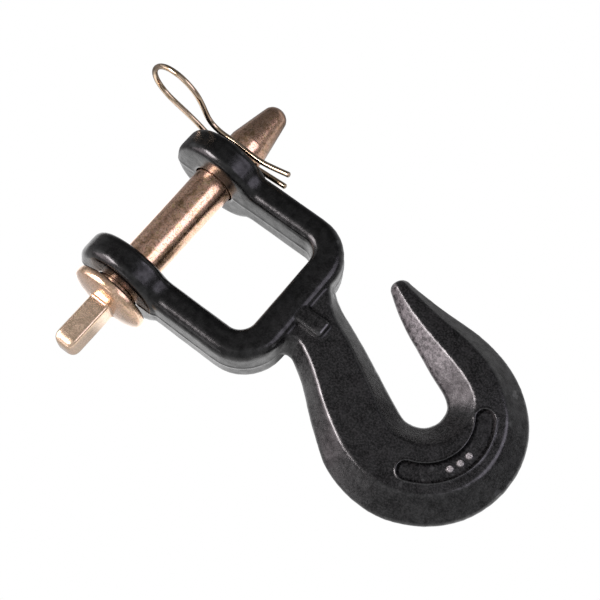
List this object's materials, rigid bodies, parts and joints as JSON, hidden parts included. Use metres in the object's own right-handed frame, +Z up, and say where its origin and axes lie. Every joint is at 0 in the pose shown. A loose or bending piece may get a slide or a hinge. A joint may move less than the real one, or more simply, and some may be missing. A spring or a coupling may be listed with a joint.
{
  "type": "clevis safety chain hook",
  "caption": "Black forged clevis grab hook with a domed, tapered hitch pin held across the fork by a spring wire clip.",
  "frame": {"origin": "middle of the clevis floor, the flat face at the bottom of the fork, on the forging's parting plane", "axes": "+X from the clevis floor towards the hook; +Y along the hitch pin towards its tapered nose; +Z up, square to the hook's flat faces"},
  "size_m": [0.1537, 0.0988, 0.0405],
  "materials": {
    "black_forging": "black paint over forged steel, semi-gloss",
    "yellow_zinc": "yellow chromated zinc plating on steel",
    "spring_wire": "yellow chromated zinc plating on spring wire"
  },
  "bodies": {
    "hook": {"hook_forging": "black_forging"},
    "pin": {"hitch_pin": "yellow_zinc"},
    "clip": {"spring_clip": "spring_wire"}
  },
  "joints": [
    {"name": "pin_turn", "type": "hinge", "parent": "hook", "child": "pin", "pos_m": [-0.0397, 0, 0], "axis": [0, 1, 0], "continuous": true},
    {"name": "clip_pull", "type": "slide", "parent": "pin", "child": "clip", "axis": [-0.9945, 0, -0.1045], "range_m": [0, 0.026]}
  ]
}
